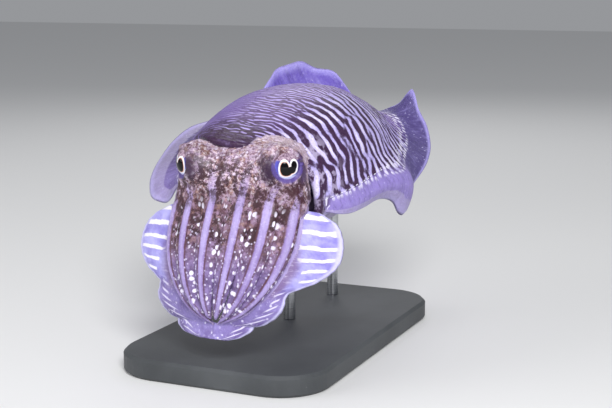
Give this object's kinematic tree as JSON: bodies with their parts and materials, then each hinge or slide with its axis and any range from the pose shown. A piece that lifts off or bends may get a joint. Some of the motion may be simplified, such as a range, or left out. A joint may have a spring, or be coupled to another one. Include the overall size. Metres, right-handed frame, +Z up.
{
  "type": "common cuttlefish",
  "caption": "Life-size common cuttlefish hovering with its head bowed and its arms together, its fins rippling, held over a flat display base by two upright rods.",
  "frame": {"origin": "centre of the display base's underside", "axes": "+Z up, the animal faces -Y, its left side is +X"},
  "size_m": [0.1307, 0.2072, 0.1348],
  "materials": {
    "mantle_skin": "moist skin, striped",
    "fin_skin": "moist thin skin, finely dotted",
    "head_skin": "moist skin, mottled",
    "funnel_skin": "moist skin, plain",
    "arm_skin": "moist skin, striped and spotted",
    "keel_skin": "moist skin, barred",
    "eye": "clear gloss",
    "stand_paint": "matte",
    "stand_steel": "brushed"
  },
  "bodies": {
    "root": {"mantle": "mantle_skin", "fin_left": "fin_skin", "fin_right": "fin_skin", "head": "head_skin", "funnel": "funnel_skin", "eye_left": "eye", "eye_right": "eye", "arm_1_left_base": "arm_skin", "arm_1_left_tip": "arm_skin", "arm_2_left_base": "arm_skin", "arm_2_left_tip": "arm_skin", "arm_3_left_base": "arm_skin", "arm_3_left_tip": "arm_skin", "arm_4_left_base": "keel_skin", "arm_4_left_tip": "keel_skin", "arm_1_right_base": "arm_skin", "arm_1_right_tip": "arm_skin", "arm_2_right_base": "arm_skin", "arm_2_right_tip": "arm_skin", "arm_3_right_base": "arm_skin", "arm_3_right_tip": "arm_skin", "arm_4_right_base": "keel_skin", "arm_4_right_tip": "keel_skin", "stand_base": "stand_paint", "stand_rod_front": "stand_steel", "stand_rod_rear": "stand_steel"}
  },
  "joints": []
}
